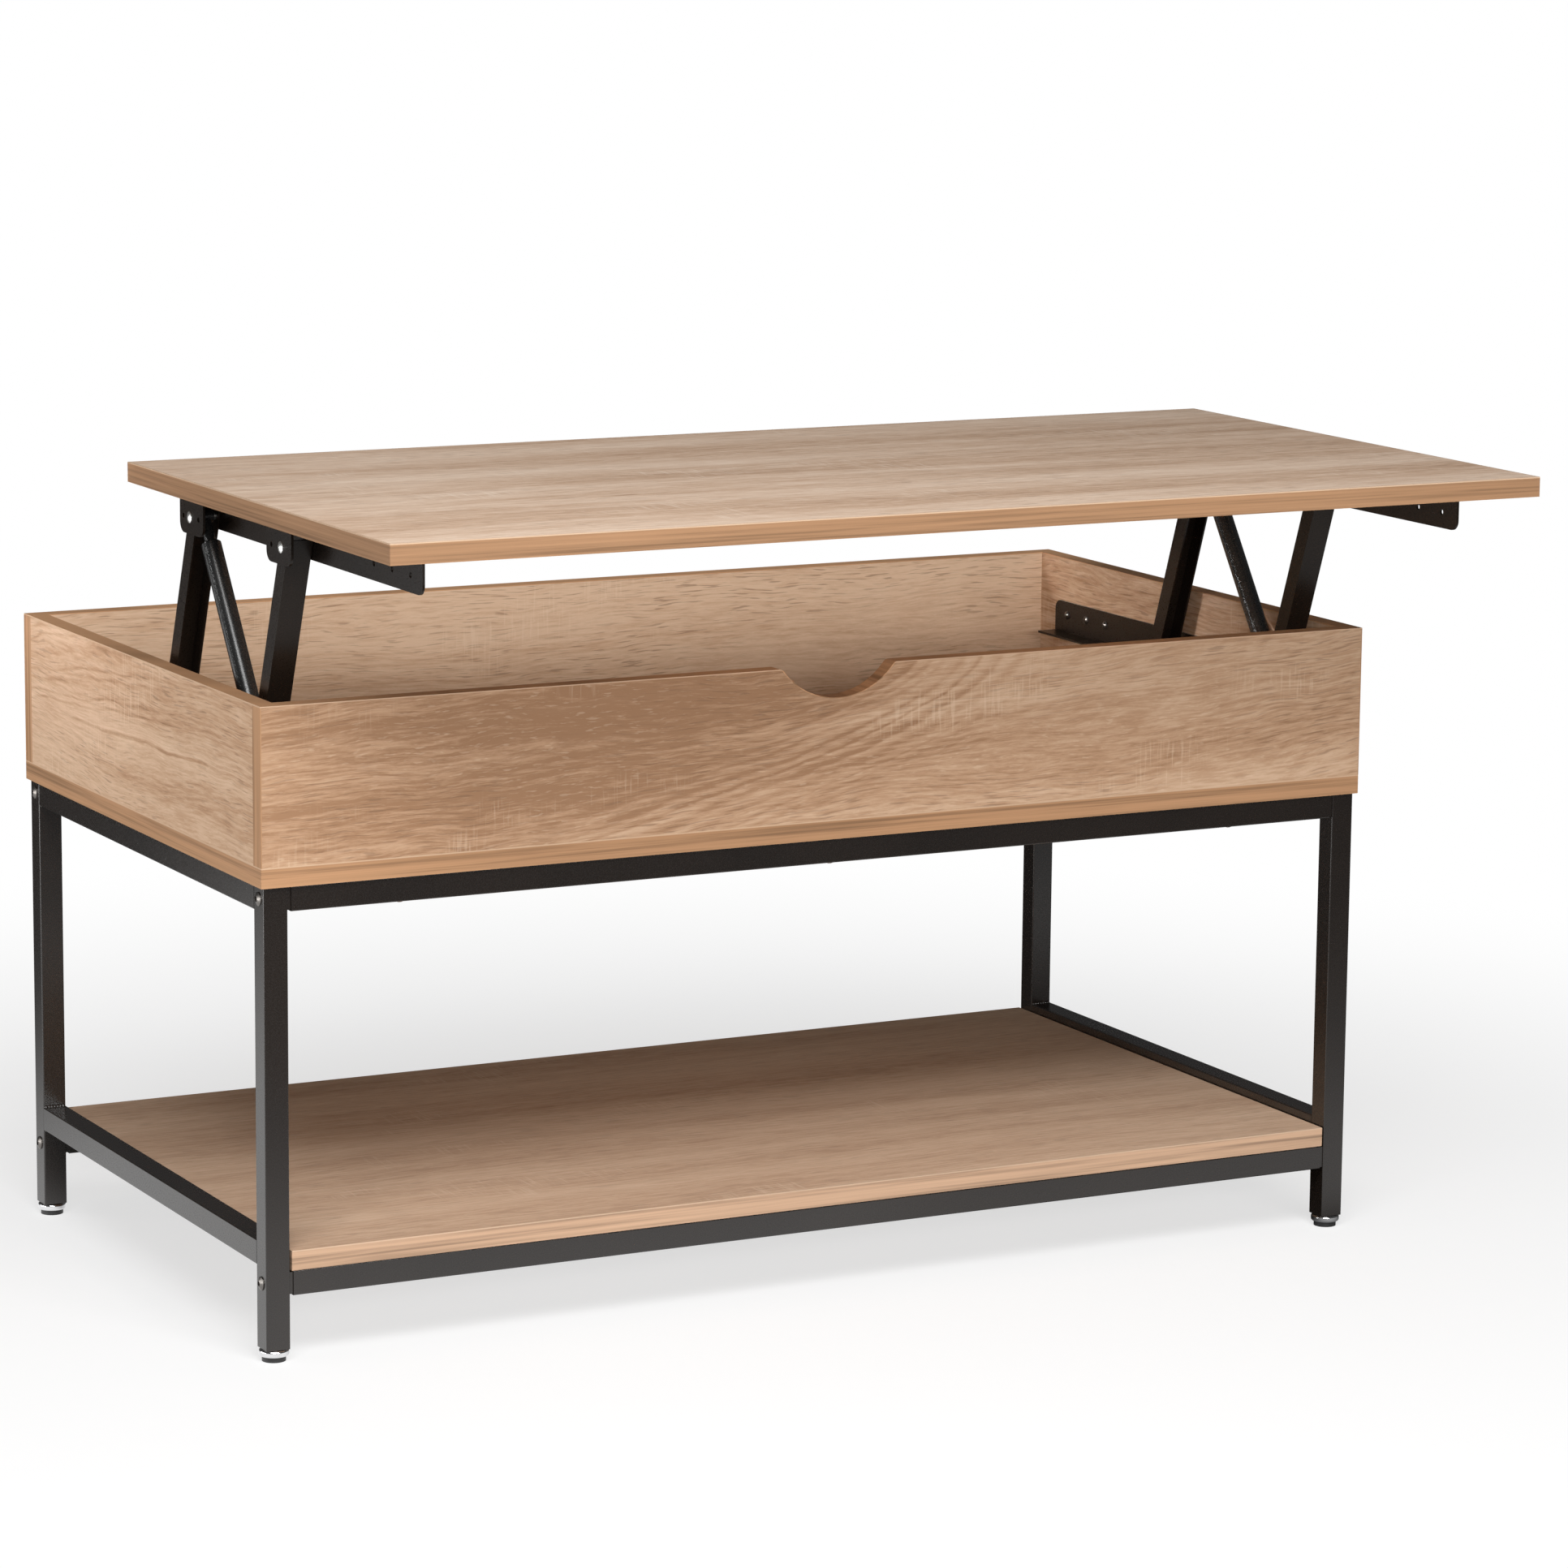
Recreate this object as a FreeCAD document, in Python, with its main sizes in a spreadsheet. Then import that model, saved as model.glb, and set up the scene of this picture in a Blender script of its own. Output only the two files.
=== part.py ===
import FreeCAD, Part
import math
import os
import re
import Sketcher

# Lift-top coffee table: a laminated storage case with a top that swings up and forward on two pairs of
# parallel arms, standing on a bolted square-tube frame with a low shelf.
# Millimetres. +Z is up, +X runs along the length, -Y is the front with the finger notch.
# The origin is on the floor, under the middle of the case. The model is drawn with the top raised.

# Driving dimensions, written into the sheet as plain numbers.
SIZES = {
    # case and top boards
    "table_length": 1000,
    "table_depth": 530,
    "board": 16,
    "edge_band": 0.8,
    "wall_height": 126,
    "rim_gap": 0.4,
    "notch_half_width": 51,
    "notch_depth": 26,
    "notch_shoulder": 5,
    "dowel_radius": 4,
    "dowel_in_wall": 10,
    "dowel_in_side": 20,
    # frame of square tube
    "frame_inset": 3,
    "tube_side": 20,
    "tube_wall": 1.5,
    "tube_corner": 1,
    "leg_length": 369,
    "lower_rail_clearance": 53,
    "side_rail_step": 3,
    "shelf_gap": 1.7,
    "end_plate": 3,
    "end_plate_step": 1.2,
    "frame_bolt_radius": 3,
    "frame_bolt_head_radius": 5.5,
    "frame_bolt_head": 2.6,
    "frame_bolt_socket_radius": 2.3,
    "frame_bolt_socket_depth": 1.6,
    "frame_bolt_tail": 8,
    "nut_radius": 5.7,
    "nut_height": 5,
    "bolt_hole_clearance": 0.3,
    # levelling feet
    "foot_height": 10,
    "foot_seat_gap": 0.2,
    "foot_pad_height": 4,
    "foot_pad_radius": 9.5,
    "foot_cap_radius": 12,
    "foot_cap_round": 2,
    "foot_stud_radius": 4,
    "foot_stud_length": 24,
    "insert_height": 28,
    "thread_clearance": 0.05,
    # wood screws
    "screw_fit": 0.05,
    "rail_screw_radius": 2,
    "rail_screw_head_radius": 4,
    "rail_screw_head": 2.4,
    "rail_screw_bite": 11,
    "bracket_screw_radius": 1.75,
    "bracket_screw_head_radius": 3.8,
    "bracket_screw_head": 2.4,
    "bracket_screw_bite": 12,
    "wall_screw_radius": 2,
    "wall_screw_head_radius": 4,
    "wall_screw_head": 2,
    "wall_screw_bite": 24,
    "recess_span": 4.4,
    "recess_slot": 0.9,
    "recess_depth": 1.3,
    "overrun": 1,
    # lift arms
    "arm_length": 190,
    "arm_raised_angle": 70,
    "arm_closed_angle": 168.5,
    "arm_width": 20,
    "arm_depth": 16,
    "arm_wall": 1.5,
    "arm_foot_round": 7.5,
    "arm_head": 9,
    "arm_head_round": 3,
    "arm_offset": 19,
    "front_pivot_inset": 60,
    "upper_pivot_drop": 20.5,
    # brackets of folded sheet
    "sheet": 2,
    "bracket_gap": 0.6,
    "bracket_end": 21,
    "tail_gap": 30,
    "tail_hole_end": 22,
    "tail_hole_pitch": 34,
    "tail_hole_drop": 18,
    "tail_hole_radius": 2.3,
    "tail_corner": 8,
    "upper_wall_height": 31,
    "ear_height": 34,
    "ear_width": 50,
    "ear_corner": 9,
    "ear_hole_radius": 2.2,
    "ear_hole_back": 13,
    "ear_hole_ahead": 19,
    "base_wall_height": 30,
    "base_pivot_height": 11.6,
    "base_tail_width": 20,
    "base_ear_half": 15,
    "base_ear_top": 10,
    "base_ear_corner": 9,
    # pivots
    "pivot_radius": 3,
    "pivot_clearance": 0.05,
    "pivot_head_radius": 4.6,
    "pivot_head": 1.6,
    "pivot_shoulder_radius": 6,
    # spring struts
    "strut_radius": 8,
    "strut_wall": 1.5,
    "strut_start": 24,
    "strut_cap": 3,
    "strut_mouth_gap": 13,
    "strut_end_round": 1,
    "neck_radius": 4.5,
    "eye_radius": 6,
    "eye_width": 12,
    "rod_radius": 4,
    "rod_clearance": 0.1,
    "rod_stop_gap": 0.5,
    "guide_length": 7,
    "piston_length": 6,
    "piston_clearance": 0.3,
}

# Shares of the length that a row of fasteners or holes is spread over.
RAIL_SCREW_SHARES = (-0.4, 0, 0.4)
LONG_WALL_SCREW_SHARES = (-0.46, -0.2, 0.2, 0.46)
SIDE_WALL_SCREW_SHARES = (-0.25, 0.25)
DOWEL_HEIGHT_SHARES = (0.25, 0.75)
BASE_SCREW_SHARES = (0.25, 0.5, 0.75)
TOP_SCREW_ARM_SHARES = (0.3, 0.7)
TOP_SCREW_TAIL_SHARES = (0.35, 0.8)
HEAD_DOME_SHARE = 0.7

# Two places this close count as the same one.
NEAR = 0.001

# Places and lengths worked out from the driving dimensions.
PLACES = {
    "frame_half_x": "table_length / 2 - frame_inset",
    "frame_half_y": "table_depth / 2 - frame_inset",
    "leg_x": "frame_half_x - tube_side / 2",
    "leg_y": "frame_half_y - tube_side / 2",
    "between_legs_x": "2 * (frame_half_x - tube_side)",
    "between_legs_y": "2 * (frame_half_y - tube_side)",
    "long_rail": "between_legs_x - 2 * end_plate",
    "frame_top": "foot_height + leg_length",
    "upper_rail_z": "frame_top - tube_side",
    "shelf_z": "lower_rail_clearance + tube_side",
    "side_rail_z": "shelf_z + side_rail_step",
    "shelf_length": "between_legs_x - 2 * shelf_gap",
    "case_floor": "frame_top + board",
    "rim": "case_floor + wall_height",
    "wall_in_x": "table_length / 2 - board",
    "wall_in_y": "table_depth / 2 - board",
    "wall_mid_x": "table_length / 2 - board / 2",
    "wall_mid_y": "table_depth / 2 - board / 2",
    "notch_radius": "(notch_half_width ^ 2 + notch_depth ^ 2) / (2 * notch_depth)",
    "notch_centre_z": "rim - notch_depth + notch_radius",
    "arm_reach": "arm_length * cos(arm_raised_angle)",
    "arm_rise": "arm_length * sin(arm_raised_angle)",
    "closed_reach": "arm_length * cos(arm_closed_angle)",
    "closed_rise": "arm_length * sin(arm_closed_angle)",
    "arm_x": "wall_in_x - arm_offset",
    "pivot_z": "rim + rim_gap - upper_pivot_drop - closed_rise",
    "front_pivot_y": "front_pivot_inset - wall_in_y",
    "rear_pivot_y": "front_pivot_y + arm_length",
    "upper_rear_y": "rear_pivot_y - arm_reach",
    "upper_front_y": "upper_rear_y - arm_length",
    "upper_pivot_z": "pivot_z + arm_rise",
    "top_under": "upper_pivot_z + upper_pivot_drop",
    "top_shift": "arm_reach - closed_reach",
    "ear_face": "arm_width / 2 + bracket_gap",
    "ear_back": "ear_face + sheet",
    "base_tail": "wall_in_y - rear_pivot_y - tail_gap",
    "upper_tail": "wall_in_y + front_pivot_y - closed_reach - tail_gap",
    "base_length": "bracket_end + arm_length + base_tail",
    "upper_length": "bracket_end + arm_length + upper_tail",
    "strut_raised": "2 * arm_length * sin(arm_raised_angle / 2)",
    "strut_mouth": "strut_raised - strut_mouth_gap",
    "strut_bore": "strut_radius - strut_wall",
    "rod_tip": "strut_raised - strut_start - strut_cap - rod_stop_gap",
}

SIDES = (("left", -1), ("right", 1))
ENDS = (("front", -1), ("back", 1))
X_AXIS = FreeCAD.Vector(1, 0, 0)
Y_AXIS = FreeCAD.Vector(0, 1, 0)
Z_AXIS = FreeCAD.Vector(0, 0, 1)
ALONG = {
    "x": FreeCAD.Rotation(Y_AXIS, 90),
    "y": FreeCAD.Rotation(X_AXIS, -90),
    "z": FreeCAD.Rotation(),
}
ABOUT_FACE = FreeCAD.Rotation(Z_AXIS, 180)

doc = FreeCAD.newDocument("lift_top_table")
sheet = doc.addObject("Spreadsheet::Sheet", "size")
for row, (alias, content) in enumerate(list(SIZES.items()) + list(PLACES.items()), 1):
    sheet.set(f"A{row}", alias)
    sheet.set(f"B{row}", f"={content}" if alias in PLACES else str(content))
    sheet.setAlias(f"B{row}", alias)
doc.recompute()
nodes = {}


def value(alias):
    """The number that a cell of the sheet holds."""
    return float(sheet.get(alias))


def in_sheet(formula):
    """A formula in plain aliases, written so that an object outside the sheet can use it."""
    known = set(SIZES) | set(PLACES)
    return re.sub(r"[a-z]\w*", lambda word: f"size.{word[0]}" if word[0] in known else word[0], formula)


def bind(thing, **formulas):
    for prop, formula in formulas.items():
        thing.setExpression(prop, in_sheet(formula))
    return thing


def place(thing, x, y, z):
    for axis, formula in zip("xyz", (x, y, z)):
        thing.setExpression(f"Placement.Base.{axis}", in_sheet(formula))
    return thing


def node(label, thing):
    """Names a finished sub-part, which is then written to its own file."""
    thing.Label = label
    nodes[label] = thing
    return thing


def block(name, x, y, z):
    """A box: x and y are (middle, length), z is (underside, height)."""
    box = bind(doc.addObject("Part::Box", name), Length=x[1], Width=y[1], Height=z[1])
    return place(box, f"{x[0]} - ({x[1]}) / 2", f"{y[0]} - ({y[1]}) / 2", z[0])


def rod(name, axis, radius, length, x, y, z):
    """A round bar that starts at (x, y, z) and runs along one axis."""
    bar = bind(doc.addObject("Part::Cylinder", name), Radius=radius, Height=length)
    bar.Placement = FreeCAD.Placement(FreeCAD.Vector(), ALONG[axis])
    return place(bar, x, y, z)


def cone(name, axis, foot_radius, tip_radius, length, x, y, z):
    """A tapered bar that starts at (x, y, z) and runs along one axis."""
    taper = bind(doc.addObject("Part::Cone", name), Radius1=foot_radius, Radius2=tip_radius, Height=length)
    taper.Placement = FreeCAD.Placement(FreeCAD.Vector(), ALONG[axis])
    return place(taper, x, y, z)


def domed_head(name, axis, facing, radius, height, seat):
    """A round head on its flat seat, with a low dome that faces forwards (1) or back (-1) along one axis."""
    dome = f"({HEAD_DOME_SHARE} * {height})"
    curve = f"({radius} ^ 2 + {dome} ^ 2) / (2 * {dome})"
    start = list(seat)
    middle = list(seat)
    index = "xyz".index(axis)
    if facing < 0:
        start[index] = f"{seat[index]} - {height}"
    middle[index] = f"{seat[index]} + ({facing}) * ({height} - {curve})"
    ball = bind(doc.addObject("Part::Sphere", f"{name}_ball"), Radius=curve)
    ball.Placement = FreeCAD.Placement(FreeCAD.Vector(), ALONG[axis])
    head = doc.addObject("Part::Common", name)
    head.Base = rod(f"{name}_drum", axis, radius, height, *start)
    head.Tool = place(ball, *middle)
    return head


def joined(name, pieces):
    whole = doc.addObject("Part::MultiFuse", name)
    whole.Shapes = pieces
    return whole


def grouped(name, pieces):
    group = doc.addObject("Part::Compound", name)
    group.Links = pieces
    return group


def less(name, base, tools):
    """The base with every tool cut out of it."""
    cut = doc.addObject("Part::Cut", name)
    cut.Base = base
    cut.Tool = tools[0] if len(tools) == 1 else grouped(f"{name}_tools", tools)
    return cut


def mirrored(name, source):
    """The same piece for the other side of the table."""
    twin = doc.addObject("Part::Mirroring", name)
    twin.Source = source
    twin.Normal = X_AXIS
    return twin


def copies(name, master, places):
    """Separate copies of one solid at a list of (x, y, z, rotation)."""
    doc.recompute()
    shapes = []
    for x, y, z, turn in places:
        shape = master.Shape.copy()
        shape.Placement = FreeCAD.Placement(FreeCAD.Vector(x, y, z), turn).multiply(shape.Placement)
        shapes.append(shape)
    group = doc.addObject("Part::Feature", name)
    group.Shape = Part.makeCompound(shapes)
    return group


def sketch_on(body, name, plane, offset="0"):
    """An empty sketch on one of the body's own planes, moved along the plane's normal."""
    sketch = body.newObject("Sketcher::SketchObject", name)
    support = next(feature for feature in body.Origin.OriginFeatures if feature.Role == plane)
    sketch.AttachmentSupport = (support, [""])
    sketch.MapMode = "FlatFace"
    sketch.setExpression("AttachmentOffset.Base.z", in_sheet(offset))
    return sketch


def number(formula):
    """What a formula in plain aliases comes to now, for a sketch's first guess."""
    scratch = doc.addObject("App::FeaturePython", "scratch")
    scratch.addProperty("App::PropertyFloat", "Result")
    bind(scratch, Result=formula)
    doc.recompute()
    result = scratch.Result
    doc.removeObject(scratch.Name)
    return result


def pin_down(sketch, geometry, end, point):
    """Holds one point of a sketch at a place given by two formulas."""
    for kind, formula, axis in (("DistanceX", point[0], -2), ("DistanceY", point[1], -1)):
        if formula == "0":
            sketch.addConstraint(Sketcher.Constraint("PointOnObject", geometry, end, axis))
        else:
            index = sketch.addConstraint(Sketcher.Constraint(kind, -1, 1, geometry, end, number(formula)))
            sketch.setExpression(f"Constraints[{index}]", in_sheet(formula))


def outline(sketch, points):
    """A closed polygon through points given by formulas."""
    start = sketch.GeometryCount
    corners = [FreeCAD.Vector(number(across), number(along), 0) for across, along in points]
    for first, second in zip(corners, corners[1:] + corners[:1]):
        sketch.addGeometry(Part.LineSegment(first, second))
    for index, point in enumerate(points):
        following = start + (index + 1) % len(points)
        sketch.addConstraint(Sketcher.Constraint("Coincident", start + index, 2, following, 1))
        pin_down(sketch, start + index, 1, point)


def rectangle(sketch, across, along):
    near, far = along
    outline(sketch, [(across[0], near), (across[1], near), (across[1], far), (across[0], far)])


def circle(sketch, radius, point):
    """A full circle with its radius and its middle given by formulas."""
    middle = FreeCAD.Vector(number(point[0]), number(point[1]), 0)
    index = sketch.addGeometry(Part.Circle(middle, Z_AXIS, number(radius)))
    constraint = sketch.addConstraint(Sketcher.Constraint("Radius", index, number(radius)))
    sketch.setExpression(f"Constraints[{constraint}]", in_sheet(radius))
    pin_down(sketch, index, 3, point)


def pad(body, name, sketch, length, side="One side"):
    feature = body.newObject("PartDesign::Pad", name)
    feature.Profile = sketch
    feature.SideType = side
    return bind(feature, Length=length)


def pocket(body, name, sketch, length=None, side="One side"):
    """A cut of a given length, or right through where no length is given. It has to remove material."""
    doc.recompute()
    before = body.Shape.Volume
    feature = body.newObject("PartDesign::Pocket", name)
    feature.Profile = sketch
    feature.SideType = side
    if length is None:
        feature.Type = "ThroughAll"
    else:
        bind(feature, Length=length)
    doc.recompute()
    if body.Shape.Volume >= before:
        raise RuntimeError(f"{body.Name}: {name} removes nothing")
    return feature


def rounded(body, name, radius, wanted):
    """Rounds the straight edges whose middle satisfies a test."""
    doc.recompute()
    tip = body.Tip
    names = []
    for index, edge in enumerate(tip.Shape.Edges, 1):
        if edge.Curve.TypeId == "Part::GeomLine" and wanted(edge, edge.CenterOfMass):
            names.append(f"Edge{index}")
    feature = body.newObject("PartDesign::Fillet", name)
    feature.Base = (tip, names)
    return bind(feature, Radius=radius)


def turned(body, name, points):
    """A solid of revolution about the body's Z axis, from a half outline of (radius, height) formulas."""
    sketch = sketch_on(body, f"{name}_outline", "YZ_Plane")
    outline(sketch, points)
    feature = body.newObject("PartDesign::Revolution", name)
    feature.Profile = sketch
    feature.ReferenceAxis = (sketch, ["V_Axis"])
    feature.Angle = 360
    return feature


def runs_along(edge, axis):
    span = edge.Vertexes[0].Point - edge.Vertexes[-1].Point
    return abs(span.normalize().dot(axis)) > math.cos(math.radians(1))


def tube(name, axis, length):
    """Square tube with rounded corners and open ends, about the origin, or upwards from it for a leg."""
    body = doc.addObject("PartDesign::Body", name)
    plane = {"x": "YZ_Plane", "y": "XZ_Plane", "z": "XY_Plane"}[axis]
    side = "One side" if axis == "z" else "Symmetric"
    outer = sketch_on(body, f"{name}_section", plane)
    half = "tube_side / 2"
    rectangle(outer, (f"-{half}", half), (f"-{half}", half))
    pad(body, f"{name}_bar", outer, length, side)
    along = {"x": X_AXIS, "y": Y_AXIS, "z": Z_AXIS}[axis]
    rounded(body, f"{name}_corners", "tube_corner", lambda edge, middle: runs_along(edge, along))
    inner = sketch_on(body, f"{name}_inside", plane)
    half = "(tube_side / 2 - tube_wall)"
    rectangle(inner, (f"-{half}", half), (f"-{half}", half))
    pocket(body, f"{name}_hollow", inner, side="Symmetric")
    return body


def banded_board(label, length, depth, x, y, z):
    """A level board and the four strips of edge band round it: the core and the list of strips."""
    core_x = (x, f"{length} - 2 * edge_band")
    core_y = (y, f"{depth} - 2 * edge_band")
    core = block(f"{label}_core", core_x, core_y, (z, "board"))
    strips = []
    for end, sign in ENDS:
        middle = f"{y} + ({sign}) * ({depth} - edge_band) / 2"
        strips.append(block(f"{label}_band_{end}", (x, length), (middle, "edge_band"), (z, "board")))
    for side, sign in SIDES:
        middle = f"{x} + ({sign}) * ({length} - edge_band) / 2"
        strips.append(block(f"{label}_band_{side}", (middle, "edge_band"), core_y, (z, "board")))
    return core, strips


# Wood screws and their pilot holes, each drawn once at the origin, driving upwards.
def cross_recess(name, mouth):
    """Two crossed slots, cut upwards from the face of a screw's head."""
    slot_z = (f"{mouth} - overrun", "recess_depth + overrun")
    along = block(f"{name}_along", ("0", "recess_span"), ("0", "recess_slot"), slot_z)
    across = block(f"{name}_across", ("0", "recess_slot"), ("0", "recess_span"), slot_z)
    return joined(name, [along, across])


def pan_screw(name, kind, hold):
    """A pan-head screw with the underside of its head at the origin."""
    shank = rod(f"{name}_shank", "z", f"{kind}_radius", f"{hold} + {kind}_bite", "0", "0", "0")
    head = domed_head(f"{name}_head", "z", -1, f"{kind}_head_radius", f"{kind}_head", ("0", "0", "0"))
    blank = joined(f"{name}_blank", [shank, head])
    return less(name, blank, [cross_recess(f"{name}_recess", f"-{kind}_head")])


def pilot(name, kind, hold):
    """The hole for such a screw, through what it holds and into the board."""
    return rod(name, "z", f"{kind}_radius + screw_fit", f"{hold} + {kind}_bite + screw_fit", "0", "0", "0")


upright = FreeCAD.Rotation()
rail_screw = pan_screw("rail_screw", "rail_screw", "tube_side")
rail_pilot = pilot("rail_pilot", "rail_screw", "tube_side")
bracket_screw = pan_screw("bracket_screw", "bracket_screw", "sheet")
bracket_pilot = pilot("bracket_pilot", "bracket_screw", "sheet")
sunk_head = cone("sunk_head", "z", "wall_screw_head_radius", "wall_screw_radius", "wall_screw_head",
                 "0", "0", "0")
sunk_shank = rod("sunk_shank", "z", "wall_screw_radius", "board + wall_screw_bite", "0", "0", "0")
sunk_blank = joined("sunk_blank", [sunk_head, sunk_shank])
wall_screw = less("wall_screw", sunk_blank, [cross_recess("sunk_recess", "0")])
sunk_seat = cone("sunk_seat", "z", "wall_screw_head_radius + screw_fit", "wall_screw_radius + screw_fit",
                 "wall_screw_head + screw_fit", "0", "0", "0")
sunk_bore = rod("sunk_bore", "z", "wall_screw_radius + screw_fit", "board + wall_screw_bite + screw_fit",
                "0", "0", "0")
wall_pilot = joined("wall_pilot", [sunk_seat, sunk_bore])


# Where the fasteners go.
rail_screw_spots = [(share * value("long_rail"), sign * value("leg_y")) for share in RAIL_SCREW_SHARES
                    for end, sign in ENDS]
floor_screw_places = [(x, y, value("upper_rail_z"), upright) for x, y in rail_screw_spots]
shelf_screw_places = [(x, y, value("lower_rail_clearance"), upright) for x, y in rail_screw_spots]
wall_screw_places = [(share * value("table_length"), sign * value("wall_mid_y"), value("frame_top"), upright)
                     for share in LONG_WALL_SCREW_SHARES for end, sign in ENDS]
wall_screw_places += [(sign * value("wall_mid_x"), share * value("table_depth"), value("frame_top"), upright)
                      for share in SIDE_WALL_SCREW_SHARES for side, sign in SIDES]
base_screw_z = value("pivot_z") - value("base_pivot_height") + value("tail_hole_drop")
tail_steps = range(3)
base_screw_ys = [value("rear_pivot_y") + value("base_tail") - value("tail_hole_end")
                 - step * value("tail_hole_pitch") for step in tail_steps]
base_screw_ys += [value("rear_pivot_y") - share * value("arm_length") for share in BASE_SCREW_SHARES]
base_screw_x = value("wall_in_x") - value("sheet")
base_screw_places = {
    "left": [(-base_screw_x, y, base_screw_z, ABOUT_FACE * ALONG["x"]) for y in base_screw_ys],
    "right": [(base_screw_x, y, base_screw_z, ALONG["x"]) for y in base_screw_ys],
}
top_screw_ys = [value("upper_rear_y") - share * value("arm_length") for share in TOP_SCREW_ARM_SHARES]
top_screw_ys += [value("upper_front_y") - share * value("upper_tail") for share in TOP_SCREW_TAIL_SHARES]
top_screw_places = [(sign * value("arm_x"), y, value("top_under") - value("sheet"), upright)
                    for side, sign in SIDES for y in top_screw_ys]

# Dowels between the long walls and the side walls: a dowel lies along Y, its outer end in the long wall.
dowel_length = "dowel_in_wall + dowel_in_side"
dowel = rod("dowel", "y", "dowel_radius", dowel_length, "0", "-dowel_in_wall", "0")
dowel_bore = rod("dowel_bore", "y", "dowel_radius + screw_fit", f"{dowel_length} + 2 * screw_fit",
                 "0", "-dowel_in_wall - screw_fit", "0")
dowel_spots = [(sign * value("wall_mid_x"), value("case_floor") + share * value("wall_height"))
               for side, sign in SIDES for share in DOWEL_HEIGHT_SHARES]
dowel_places = [(x, -value("wall_in_y"), z, upright) for x, z in dowel_spots]
dowel_places += [(x, value("wall_in_y"), z, ABOUT_FACE) for x, z in dowel_spots]
dowel_bores = copies("dowel_bores", dowel_bore, dowel_places)
wall_pilots = copies("wall_pilots", wall_pilot, wall_screw_places)
node("case_dowels", copies("case_dowels", dowel, dowel_places))
node("wall_screws", copies("wall_screws", wall_screw, wall_screw_places))
node("floor_screws", copies("floor_screws", rail_screw, floor_screw_places))
node("shelf_screws", copies("shelf_screws", rail_screw, shelf_screw_places))
node("top_screws", copies("top_screws", bracket_screw, top_screw_places))
for side, sign in SIDES:
    node(f"base_screws_{side}", copies(f"base_screws_{side}", bracket_screw, base_screw_places[side]))


# Top panel, floor panel and shelf, each with its edge bands.
def make_level_boards():
    core, strips = banded_board("top_panel", "table_length", "table_depth", "0", "0 - top_shift", "top_under")
    pilots = copies("top_pilots", bracket_pilot, top_screw_places)
    node("top_panel", less("top_panel", core, [pilots]))
    node("top_edge_bands", grouped("top_edge_bands", strips))
    core, strips = banded_board("floor_panel", "table_length", "table_depth", "0", "0", "frame_top")
    pilots = copies("floor_pilots", rail_pilot, floor_screw_places)
    node("box_floor_panel", less("box_floor_panel", core, [pilots, wall_pilots]))
    node("floor_edge_bands", grouped("floor_edge_bands", strips))
    core, strips = banded_board("shelf", "shelf_length", "2 * frame_half_y", "0", "0", "shelf_z")
    pilots = copies("shelf_pilots", rail_pilot, shelf_screw_places)
    node("shelf_panel", less("shelf_panel", core, [pilots]))
    node("shelf_edge_bands", grouped("shelf_edge_bands", strips))


def front_board(name, band):
    """The front wall with its finger notch, drawn full size or smaller by the thickness of the edge band."""
    body = doc.addObject("PartDesign::Body", name)
    face = sketch_on(body, f"{name}_face", "XZ_Plane", "wall_in_y")
    half = "(table_length / 2 - edge_band)"
    rectangle(face, (f"-{half}", half), ("case_floor", f"rim - {band}"))
    pad(body, f"{name}_board", face, "board")
    notch = sketch_on(body, f"{name}_notch", "XZ_Plane", "wall_in_y")
    circle(notch, f"notch_radius + {band}", ("0", "notch_centre_z"))
    pocket(body, f"{name}_finger_notch", notch, side="Symmetric")
    top_z = value("rim") - number(band)
    reach = value("notch_half_width") + value("notch_shoulder")
    rounded(body, f"{name}_shoulders", f"notch_shoulder - {band}",
            lambda edge, middle: runs_along(edge, Y_AXIS) and abs(middle.x) < reach
            and abs(middle.z - top_z) < NEAR)
    return body


def make_walls():
    core = front_board("front_core", "edge_band")
    whole = front_board("front_whole", "0")
    node("box_front_panel", less("box_front_panel", core, [dowel_bores, wall_pilots]))
    bands = [less("front_rim_band", whole, [core])]
    core_height = "wall_height - edge_band"
    band_z = "rim - edge_band"
    long_core = "table_length - 2 * edge_band"
    back = block("back_core", ("0", long_core), ("wall_mid_y", "board"), ("case_floor", core_height))
    node("box_back_panel", less("box_back_panel", back, [dowel_bores, wall_pilots]))
    bands.append(block("back_rim_band", ("0", long_core), ("wall_mid_y", "board"), (band_z, "edge_band")))
    for side, sign in SIDES:
        x = f"({sign}) * wall_mid_x"
        wall = block(f"{side}_core", (x, "board"), ("0", "2 * wall_in_y"), ("case_floor", core_height))
        pilots = copies(f"{side}_base_pilots", bracket_pilot, base_screw_places[side])
        node(f"box_{side}_panel", less(f"box_{side}_panel", wall, [dowel_bores, wall_pilots, pilots]))
        bands.append(block(f"{side}_rim_band", (x, "board"), ("0", "2 * wall_in_y"), (band_z, "edge_band")))
        edge_x = f"({sign}) * (table_length - edge_band) / 2"
        for end, way in ENDS:
            end_y = (f"({way}) * wall_mid_y", "board")
            end_z = ("case_floor", "wall_height")
            bands.append(block(f"{end}_{side}_end_band", (edge_x, "edge_band"), end_y, end_z))
    node("wall_edge_bands", grouped("wall_edge_bands", bands))


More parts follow.
